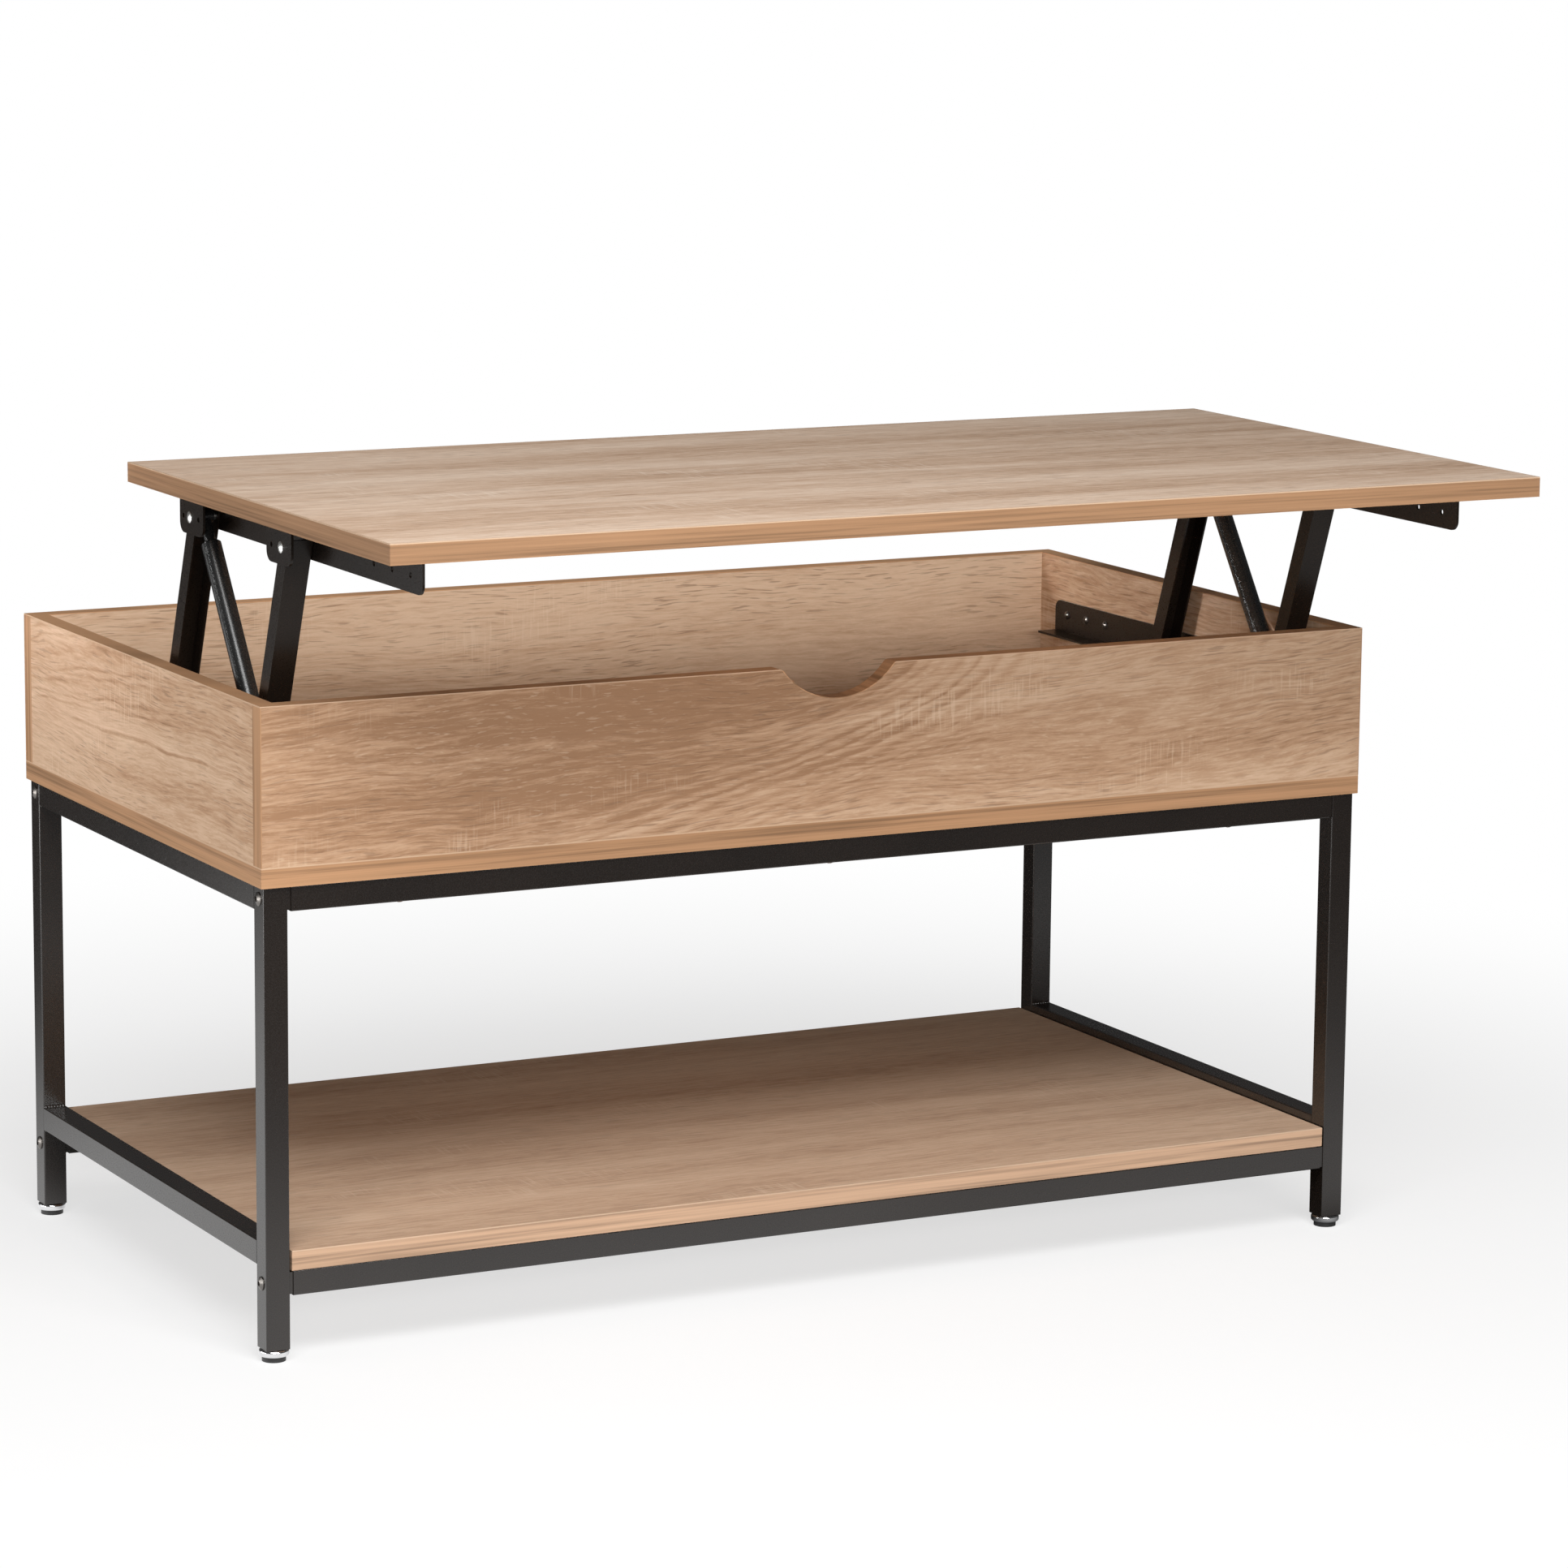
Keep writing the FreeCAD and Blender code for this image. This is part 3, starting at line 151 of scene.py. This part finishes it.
def oak_laminate(name, order, shift, heart, stretch, lean, ring_depth, slope=0.0, ring_gap=0.014,
                 ring_start=0.30, ring_fade=(0.05, 0.20), below=1.0, heartwood=0.0, vein=0.0,
                 sawn=(0.0, 0.0), depth=-0.05, wash=0.0, stain=(1.0, 1.0, 1.0)):
    """Printed oak: broad bands along the grain, rings and heartwood, fibres, pores, glints and saw marks.

    The rings open out from the heart and fade over a stretch of their reach. Below the heart they keep the
    share given. A vein is a thin dark line that runs from a small knot at the heart. Depth moves the whole
    board's tone, wash greys it, and stain shifts its hue.
    """
    oak = Finish(name)
    along, across = oak.axes(order)
    wander = oak.sway(along, across, 2.6, 9.0, shift, detail=3.0)
    wander_size = 0.045
    ripple = oak.sway(along, across, 16.0, 45.0, shift + 3.0, detail=2.0)
    ripple_size = 0.005
    level = oak.math("MULTIPLY_ADD", along, -slope, across)
    level = oak.math("MULTIPLY_ADD", wander, wander_size, level)
    level = oak.math("MULTIPLY_ADD", ripple, ripple_size, level)

    u = oak.math("DIVIDE", oak.math("SUBTRACT", along, heart[0]), stretch)
    v = oak.math("SUBTRACT", level, heart[1])
    reach = oak.math("SQRT", oak.square_sum(u, v))
    reach = oak.math("MULTIPLY_ADD", u, lean, reach)
    uneven = oak.sway(along, reach, 0.8, 45.0, shift + 5.0, detail=1.0)
    ring_wobble = 2.2 * ring_gap
    ring_count = oak.math("DIVIDE", oak.math("MULTIPLY_ADD", uneven, ring_wobble, reach), ring_gap)
    phase = oak.math("FRACT", ring_count)
    late = oak.peak(phase, ring_start, 0.72, 1.0)
    early = oak.peak(phase, 0.0, 0.08, 0.30)
    patch = oak.streaks(along, reach, 3.0, 35.0, shift + 7.0, detail=2.0)
    tail = oak.math("MULTIPLY", u, lean)
    ring_patch = oak.between(patch, 0.34, 0.62, 0.25, 1.0)
    for share in (oak.between(reach, *ring_fade, 1.0, 0.10),
                  oak.between(tail, -0.09, -0.02, 0.35, 1.0),
                  oak.between(v, -0.006, 0.006, below, 1.0)):
        ring_patch = oak.math("MULTIPLY", ring_patch, share)

    band = oak.streaks(along, level, 1.1, 15.0, shift + 11.0, detail=3.0, roughness=0.55)
    thin_band = oak.streaks(along, level, 2.4, 60.0, shift + 12.0, detail=2.0)
    fibre = oak.streaks(along, level, 24.0, 340.0, shift + 13.0, detail=4.0, roughness=0.75)
    pore_row = oak.streaks(along, level, 38.0, 640.0, shift + 17.0, detail=1.0)
    pore_patch = oak.streaks(along, level, 5.0, 17.0, shift + 19.0, detail=2.0)
    pore = oak.math("MULTIPLY", oak.between(pore_row, 0.57, 0.67), oak.between(pore_patch, 0.34, 0.60))
    glint_row = oak.streaks(along, level, 80.0, 540.0, shift + 31.0, detail=2.0)
    off_pores = oak.between(pore_patch, 0.40, 0.60, 1.0, 0.35)
    glint = oak.math("MULTIPLY", oak.between(glint_row, 0.58, 0.70), off_pores)
    saw_row = oak.streaks(along, across, 420.0, 26.0, shift + 23.0, detail=2.0)
    saw_patch = oak.streaks(along, across, 7.0, 11.0, shift + 29.0, detail=2.0)
    saw_length = 0.13
    saw_width = 0.045
    saw_u = oak.math("DIVIDE", oak.math("SUBTRACT", along, sawn[0]), saw_length)
    saw_v = oak.math("DIVIDE", oak.math("SUBTRACT", across, sawn[1]), saw_width)
    near_saw = oak.between(oak.square_sum(saw_u, saw_v), 0.2, 1.4, 0.12, 0.0)
    saw_patch = oak.math("ADD", saw_patch, near_saw)
    saw_mark = oak.math("MULTIPLY", oak.between(saw_row, 0.52, 0.66), oak.between(saw_patch, 0.56, 0.68))

    shade = oak.math("MULTIPLY_ADD", oak.math("MULTIPLY", late, ring_patch), ring_depth, depth)
    for streak, share in ((band, 0.40), (thin_band, 0.16), (fibre, 0.46)):
        shade = oak.math("MULTIPLY_ADD", oak.between(streak, 0.30, 0.70), share, shade)
    heart_dark = oak.math("MULTIPLY", oak.between(reach, 0.003, 0.090, 1.0, 0.0),
                          oak.between(tail, -0.13, -0.03, 0.45, 1.0))
    shade = oak.math("MULTIPLY_ADD", heart_dark, heartwood, shade)
    if vein:
        line = oak.math("MULTIPLY", oak.between(oak.math("ABSOLUTE", v), 0.0004, 0.0024, 1.0, 0.0),
                        oak.between(tail, -0.004, 0.0, 1.0, 0.0))
        line = oak.math("MULTIPLY", line, oak.between(tail, -0.056, -0.030, 0.25, 1.0))
        knot_squeeze = 0.4
        off_knot = oak.math("MULTIPLY", oak.math("SUBTRACT", along, heart[0]), knot_squeeze)
        knot = oak.math("SQRT", oak.square_sum(off_knot, v))
        line = oak.math("MAXIMUM", line, oak.between(knot, 0.003, 0.014, 0.6, 0.0))
        shade = oak.math("MULTIPLY_ADD", line, vein, shade)
    colour = oak.ramp(shade, [
        (0.08, (0.690, 0.490, 0.338)),
        (0.42, (0.590, 0.392, 0.256)),
        (0.72, (0.480, 0.290, 0.172)),
        (1.00, (0.340, 0.185, 0.098)),
    ])
    pale = (0.780, 0.600, 0.440)
    dark = (0.190, 0.105, 0.058)
    grey = (0.600, 0.490, 0.400)
    early = oak.math("MULTIPLY", early, ring_patch)
    marks = ((early, 0.2 * ring_depth, pale), (pore, 0.46, dark), (glint, 0.26, pale), (saw_mark, 0.30, pale))
    for mark, share, tone in marks:
        colour = oak.tint(oak.math("MULTIPLY", mark, share), colour, tone)
    colour = oak.tint(wash, colour, grey)
    colour = oak.tint(1.0, colour, stain, "MULTIPLY")
    fibre_height = 0.35
    height = oak.math("SUBTRACT", oak.math("MULTIPLY", fibre, fibre_height), pore)
    oak.relief(height, 0.00012, 0.5)
    oak.set(Base_Color=colour, Roughness=oak.between(fibre, 0.2, 0.8, 0.58, 0.74), Specular_IOR_Level=0.09)
    return oak.material


def oak_band(name, shift, tone, box, end_height):
    """Edge band: warmer than the boards, with fine dark lines along its length and a pale upper outer arris,
    partly the trimmed edge's own paler colour and partly a painted highlight.

    Bands on the upright ends of the walls, which lie below end_height, are darker and have upright lines.
    """
    low, high = box
    face_depth = 0.0008
    end_shade = (0.83, 0.83, 0.83)
    arris_trim_highlight_colour = (0.700, 0.520, 0.370)
    band = Finish(name)
    x, y, z = band.axes("XYZ")
    length = band.math("ADD", x, y)
    ends = band.math("GREATER_THAN", band.math("ABSOLUTE", x), table_end - face_depth)
    ends = band.math("MULTIPLY", ends, band.math("LESS_THAN", z, end_height))
    along = band.pick(ends, length, z)
    across = band.pick(ends, z, y)
    line = band.streaks(along, across, 5.0, 420.0, shift, detail=3.0, roughness=0.6)
    broad = band.streaks(along, across, 2.0, 150.0, shift + 5.0, detail=2.0)
    shade = band.math("ADD", band.math("MULTIPLY", line, 0.55), band.math("MULTIPLY", broad, 0.45))
    colour = band.ramp(band.between(shade, 0.30, 0.70), [
        (0.0, tuple(channel * 1.22 for channel in tone)),
        (0.55, tone),
        (1.0, tuple(channel * 0.58 for channel in tone)),
    ])
    colour = band.tint(ends, colour, end_shade, "MULTIPLY")
    off_x = band.math("ABSOLUTE", band.math("SUBTRACT", x, (low[0] + high[0]) / 2))
    off_y = band.math("ABSOLUTE", band.math("SUBTRACT", y, (low[1] + high[1]) / 2))
    side = band.math("MAXIMUM", band.math("SUBTRACT", off_x, (high[0] - low[0]) / 2),
                     band.math("SUBTRACT", off_y, (high[1] - low[1]) / 2))
    # Pale upper outer arris: partly the trimmed edge's own paler colour, partly a painted highlight where the
    # arris catches light.
    arris_trim_and_highlight = band.math("MULTIPLY", band.between(z, high[2] - 0.0012, high[2] - 0.0006),
                     band.between(side, -0.0007, -0.0003, 0.0, 0.6))
    colour = band.tint(arris_trim_and_highlight, colour, arris_trim_highlight_colour)
    band.relief(line, 0.00008, 0.4)
    band.set(Base_Color=colour, Roughness=band.between(line, 0.2, 0.8, 0.50, 0.64), Specular_IOR_Level=0.12)
    return band.material


def powder_coat(name, colour, roughness, gloss):
    """Baked powder coat: a fine orange-peel surface with faint changes of depth."""
    coat = Finish(name)
    peel = coat.noise(coat.place, scale=900.0, detail=2.0)
    cloud = coat.noise(coat.place, scale=9.0, detail=3.0)
    lighter = tuple(channel * 1.35 for channel in colour)
    shade = coat.tint(coat.between(cloud, 0.3, 0.7), colour, lighter)
    coat.relief(peel, 0.00005, 0.35)
    rough = coat.between(peel, 0.2, 0.8, roughness - 0.05, roughness + 0.06)
    coat.set(Base_Color=shade, Roughness=rough, Specular_IOR_Level=gloss)
    return coat.material


def plated(name, colour, roughness, brushed=0.0):
    """Bright plated metal with faint rub marks."""
    plate = Finish(name)
    rub = plate.noise(plate.place, scale=600.0, detail=3.0, roughness=0.6)
    cloud = plate.noise(plate.place, scale=120.0, detail=2.0)
    darker = tuple(channel * 0.82 for channel in colour)
    plate.set(Base_Color=plate.tint(cloud, colour, darker))
    plate.set(Roughness=plate.between(rub, 0.2, 0.8, roughness, roughness + 0.08 + brushed))
    plate.set(Metallic=1.0)
    plate.relief(rub, 0.00003, 0.2)
    return plate.material


def moulded(name, colour, roughness):
    """Moulded plastic with a fine spark-eroded texture."""
    plastic = Finish(name)
    texture = plastic.noise(plastic.place, scale=1400.0, detail=2.0)
    cloud = plastic.noise(plastic.place, scale=60.0, detail=2.0)
    lighter = tuple(channel * 1.5 for channel in colour)
    plastic.set(Base_Color=plastic.tint(cloud, colour, lighter))
    plastic.set(Roughness=plastic.between(texture, 0.2, 0.8, roughness, roughness + 0.12))
    plastic.relief(texture, 0.00004, 0.3)
    return plastic.material


def give(material, *names):
    """Puts a finish on CAD nodes, by name or by the start of their names."""
    for name, thing in nodes.items():
        if name.startswith(names):
            if not thing.material_slots:
                thing.data.materials.append(material)
            for slot in thing.material_slots:
                slot.material = material


def dress_boards():
    """Each board has its own heart and its own stretch of grain."""
    give(oak_laminate("oak_top", "XY", 2.0, heart=(-0.90, -0.30), stretch=6.0, lean=1.0, ring_depth=0.18,
                      depth=0.10, wash=0.08, stain=(1.19, 1.34, 1.54)),
         "top_panel")
    # The front board's darker tone is partly painted shade, set against the strong front fill.
    give(oak_laminate("oak_front", "XZ", 5.0, heart=(0.01, 0.530), stretch=3.4, lean=1.0, ring_depth=0.36,
                      slope=0.04, ring_gap=0.0095, ring_fade=(0.075, 0.140), heartwood=0.36,
                      sawn=(0.36, 0.495), depth=0.08, wash=0.05),
         "box_front_panel")
    # The back board's much paler tone is painted light for the inside of the back wall, which the lamps light
    # too little.
    give(oak_laminate("oak_back", "XZ", 9.0, heart=(0.90, 0.40), stretch=6.0, lean=-1.0, ring_depth=0.22,
                      depth=-0.24),
         "box_back_panel")
    give(oak_laminate("oak_left", "YZ", 14.0, heart=(0.20, 0.452), stretch=9.0, lean=1.0, ring_depth=0.30,
                      ring_gap=0.010, ring_start=0.45, below=0.12, heartwood=0.05, vein=0.42,
                      sawn=(0.06, 0.500), depth=-0.11, wash=0.05),
         "box_left_panel")
    give(oak_laminate("oak_right", "YZ", 21.0, heart=(0.34, 0.35), stretch=4.0, lean=1.0, ring_depth=0.25),
         "box_right_panel")
    give(oak_laminate("oak_floor", "XY", 27.0, heart=(0.20, 0.45), stretch=6.0, lean=1.0, ring_depth=0.12),
         "box_floor_panel")
    # The shelf's darker tone is partly painted shade for the shade of the case above it.
    give(oak_laminate("oak_shelf", "XY", 33.0, heart=(1.10, -0.05), stretch=7.0, lean=-1.0, ring_depth=0.16,
                      sawn=(-0.20, -0.03), depth=0.05, wash=0.30),
         "shelf_panel")


def dress_bands():
    """Only the walls have bands on upright ends, and those stop just under the rim."""
    no_ends = 0.0
    under_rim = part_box("wall_edge_bands")[1][2] - 0.0009
    tones = (
        ("top", (0.305, 0.171, 0.092), no_ends),
        ("floor", (0.430, 0.240, 0.128), no_ends),
        ("wall", (0.530, 0.297, 0.159), under_rim),
        ("shelf", (0.515, 0.334, 0.221), no_ends),
    )
    for index, (name, tone, end_height) in enumerate(tones):
        bands = f"{name}_edge_bands"
        give(oak_band(f"oak_band_{name}", 3.0 * index, tone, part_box(bands), end_height), bands)


def dress_metal():
    frame_coat = powder_coat("frame_coat", (0.0100, 0.0066, 0.0048), 0.24, 0.80)
    give(frame_coat, "leg_front", "leg_back", "upper_side_rail", "lower_side_rail", "upper_front_rail",
         "upper_back_rail", "lower_front_rail", "lower_back_rail", "rail_end_plates")
    lift_coat = powder_coat("lift_coat", (0.0115, 0.0076, 0.0053), 0.30, 0.28)
    give(lift_coat, "upper_bracket", "base_bracket", "rear_arm", "front_arm")
    give(powder_coat("strut_coat", (0.010, 0.010, 0.010), 0.28, 0.8), "strut_cylinder")
    give(plated("rod_steel", (0.55, 0.55, 0.54), 0.18), "strut_rod")
    give(plated("zinc", (0.78, 0.78, 0.76), 0.26, brushed=0.10),
         "upper_pivot_rivets", "lower_pivot_studs", "rail_nuts")
    give(plated("screw_zinc", (0.62, 0.61, 0.58), 0.30, brushed=0.10),
         "floor_screws", "shelf_screws", "top_screws", "wall_screws")
    give(plated("black_zinc", (0.190, 0.176, 0.164), 0.30, brushed=0.05), "base_screws", "frame_bolts")
    give(plated("chrome", (0.86, 0.86, 0.87), 0.05), "foot_front", "foot_back")
    give(moulded("black_plastic", (0.018, 0.018, 0.018), 0.42), "foot_pad", "leg_inserts", "strut_guide")


def dress_dowels():
    beech = Finish("beech_dowel")
    x, y = beech.axes("XY")
    fibre = beech.streaks(y, x, 30.0, 900.0, 4.0, detail=2.0)
    beech.set(Base_Color=beech.tint(fibre, (0.62, 0.43, 0.25), (0.48, 0.31, 0.17)))
    beech.set(Roughness=beech.between(fibre, 0.2, 0.8, 0.55, 0.7))
    give(beech.material, "case_dowels")


def weld_frame():
    """Weld beads at the ends of the side rails, each a row of overlapping ripples in one skin.

    The upper rails have beads below only, because the floor of the case lies on them.
    """
    coat = bpy.data.materials["frame_coat"]
    ripple_count = 7
    ripple_gap = 0.0026
    ripple_radius = 0.0017
    skin_size = 0.0005
    bpy.ops.object.select_all(action="DESELECT")
    ripples = []
    for index in range(ripple_count):
        place = ((index - (ripple_count - 1) / 2) * ripple_gap, 0.0, 0.0)
        bpy.ops.mesh.primitive_uv_sphere_add(segments=16, ring_count=10, radius=ripple_radius, location=place)
        bpy.ops.transform.resize(value=(1.05, 1.0 + 0.06 * (index % 3), 1.0 - 0.05 * (index % 2)))
        ripples.append(bpy.context.object)
    for ripple in ripples:
        ripple.select_set(True)
    bpy.context.view_layer.objects.active = ripples[0]
    bpy.ops.object.join()
    bpy.ops.object.transform_apply(location=True, rotation=True, scale=True)
    bead = bpy.context.object
    bead.data.remesh_voxel_size = skin_size
    bpy.ops.object.voxel_remesh()
    bpy.ops.object.shade_smooth()
    rails = ("upper_side_rail_left", "upper_side_rail_right", "lower_side_rail_left", "lower_side_rail_right")
    for rail in rails:
        low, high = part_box(rail)
        middle = (low[0] + high[0]) / 2
        sides = [("under", low[2])]
        if rail.startswith("lower"):
            sides.append(("over", high[2]))
        for end, y in (("front", low[1]), ("back", high[1])):
            for side, z in sides:
                weld = bpy.data.objects.new(f"weld_{rail}_{end}_{side}", bead.data.copy())
                weld.data.transform(Matrix.Translation((middle, y, z)))
                weld.data.materials.append(coat)
                bpy.context.scene.collection.objects.link(weld)
                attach(weld, "base")
    bpy.data.objects.remove(bead)


def set_up_camera():
    """The photograph's viewpoint, with a slight roll and a long lens on a square sensor."""
    azimuth = math.radians(-27.41)
    elevation = math.radians(10.23)
    roll = math.radians(0.548)
    target = Vector((0.0, 0.0, 0.3))
    distance = 4.766
    shift_right = 0.07953
    shift_up = 0.07922
    sensor = 36.0
    focal_ratio = 6889.36 / 1932.0
    back = Vector((math.sin(azimuth) * math.cos(elevation), -math.cos(azimuth) * math.cos(elevation),
                   math.sin(elevation)))
    level_right = Vector((math.cos(azimuth), math.sin(azimuth), 0.0))
    level_up = back.cross(level_right)
    right = level_right * math.cos(roll) + level_up * math.sin(roll)
    up = level_up * math.cos(roll) - level_right * math.sin(roll)
    eye = target + back * distance + right * shift_right + up * shift_up
    data = bpy.data.cameras.new("camera")
    data.sensor_width = sensor
    data.lens = sensor * focal_ratio
    camera = bpy.data.objects.new("camera", data)
    bpy.context.scene.collection.objects.link(camera)
    turn = Matrix((right, up, back)).transposed().to_4x4()
    camera.matrix_world = Matrix.Translation(eye) @ turn
    bpy.context.scene.camera = camera


def soft_box(name, place, aim, width, height, power, mirrored=True, spread=180.0):
    """A lamp that the camera doesn't see. Without mirrored, mirror images don't show it either."""
    data = bpy.data.lights.new(name, "AREA")
    data.shape = "RECTANGLE"
    data.size = width
    data.size_y = height
    data.energy = power
    data.spread = math.radians(spread)
    light = bpy.data.objects.new(name, data)
    bpy.context.scene.collection.objects.link(light)
    light.visible_camera = False
    light.visible_glossy = mirrored
    light.location = place
    light.rotation_euler = (Vector(aim) - Vector(place)).to_track_quat("-Z", "Y").to_euler()


def see_background(tree, mirrored):
    """1 for what the camera sees directly or through glass, a share for mirror images, and 0 for light."""
    path = tree.nodes.new("ShaderNodeLightPath")
    seen = path.outputs["Is Camera Ray"]
    for kind, share in (("Is Transmission Ray", 1.0), ("Is Glossy Ray", mirrored)):
        sum_up = tree.nodes.new("ShaderNodeMath")
        sum_up.operation = "MULTIPLY_ADD"
        tree.links.new(path.outputs[kind], sum_up.inputs[0])
        if isinstance(share, bpy.types.NodeSocket):
            tree.links.new(share, sum_up.inputs[1])
        else:
            sum_up.inputs[1].default_value = share
        tree.links.new(seen, sum_up.inputs[2])
        seen = sum_up.outputs[0]
    return seen


def set_up_floor():
    """Pale floor with the table's shadow, which turns to plain white away from the table.

    Mirror images show it as a glowing white card on the left and close in front. The card fades towards the
    back and the far front, and is dark under the table, a painted shadow in the mirror images.
    """
    half_length = 0.47
    half_depth = 0.24
    bounce = (0.42, 0.42, 0.42)
    bpy.ops.object.select_all(action="DESELECT")
    bpy.ops.mesh.primitive_plane_add(size=80.0, location=(0.0, 0.0, 0.0))
    floor = bpy.context.object
    floor.name = "studio_floor"
    paint = Finish("floor_paint")
    grain = paint.noise(paint.place, scale=40.0, detail=3.0)
    x, y = paint.axes("XY")
    distance = paint.math("SQRT", paint.square_sum(x, y))
    far = paint.between(distance, 0.4, 1.7, 0.66, 1.0)
    pale = paint.tint(grain, (0.90, 0.90, 0.90), (0.92, 0.92, 0.92))
    paint.set(Base_Color=paint.tint(see_background(paint.tree, 0.0), bounce, pale))
    paint.set(Roughness=0.9, Specular_IOR_Level=0.1)
    white = paint.math("MINIMUM", paint.math("MULTIPLY", far, see_background(paint.tree, 2.0)), 1.0)
    slant = paint.math("MULTIPLY_ADD", x, 0.77, paint.math("MULTIPLY", y, 0.64))
    card = paint.math("MAXIMUM", paint.between(slant, -0.24, 0.14, 1.0, 0.03),
                      paint.between(y, -0.40, -0.20, 0.8, 0.0))
    card = paint.math("MULTIPLY", card, paint.between(y, -1.3, -0.35, 0.12, 1.0))
    # Dark under the table: a painted shadow, seen only in mirror images of the floor.
    outside = paint.math("MAXIMUM", paint.math("SUBTRACT", paint.math("ABSOLUTE", x), half_length),
                         paint.math("SUBTRACT", paint.math("ABSOLUTE", y), half_depth))
    card = paint.math("MULTIPLY", card, paint.between(outside, -0.06, 0.04, 0.08, 1.0))
    glow = paint.add("ShaderNodeEmission")
    paint.feed(glow.inputs["Strength"], see_background(paint.tree, card))
    blend = paint.add("ShaderNodeMixShader")
    paint.feed(blend.inputs[0], white)
    paint.feed(blend.inputs[1], paint.shader.outputs[0])
    paint.feed(blend.inputs[2], glow.outputs[0])
    paint.feed(paint.tree.nodes["Material Output"].inputs["Surface"], blend.outputs[0])
    floor.data.materials.append(paint.material)


def set_up_studio():
    """White background, a large soft box above and in front, and a fill on each side.

    A narrow fill from the left lights the inside of the case. The fills behind and on the right stay near
    the floor, so that they reach only the sides that the photograph doesn't show.
    """
    bpy.context.scene.view_settings.view_transform = "Standard"
    world = bpy.data.worlds.new("studio_air")
    bpy.context.scene.world = world
    world.use_nodes = True
    tree = world.node_tree
    sky = tree.nodes["Background"]
    sky.inputs["Color"].default_value = (1.0, 1.0, 1.0, 1.0)
    bright = tree.nodes.new("ShaderNodeMapRange")
    bright.inputs["To Min"].default_value = 0.02
    bright.inputs["To Max"].default_value = 1.0
    tree.links.new(see_background(tree, 0.05), bright.inputs["Value"])
    tree.links.new(bright.outputs[0], sky.inputs["Strength"])
    soft_box("overhead", (-0.75, -1.80, 2.20), (0.0, -0.25, 0.35), 2.4, 0.9, 72.0)
    soft_box("front_fill", (-0.6, -3.2, 1.06), (0.0, 0.0, 0.45), 3.0, 0.4, 56.0)
    soft_box("left_fill", (-2.2, 0.5, 0.22), (0.0, 0.0, 0.30), 2.0, 0.3, 19.0)
    soft_box("case_fill", (-2.3, 0.55, 1.0), (0.48, 0.14, 0.47), 0.5, 0.2, 0.32, spread=14.0)
    soft_box("right_fill", (2.9, 0.0, 0.07), (0.0, 0.0, 0.40), 2.4, 0.09, 40.0, mirrored=False)
    soft_box("back_fill", (0.2, 2.7, 0.07), (0.0, 0.0, 0.40), 3.0, 0.09, 46.0, mirrored=False)


dress_boards()
dress_bands()
dress_metal()
dress_dowels()
weld_frame()
set_up_camera()
set_up_floor()
set_up_studio()
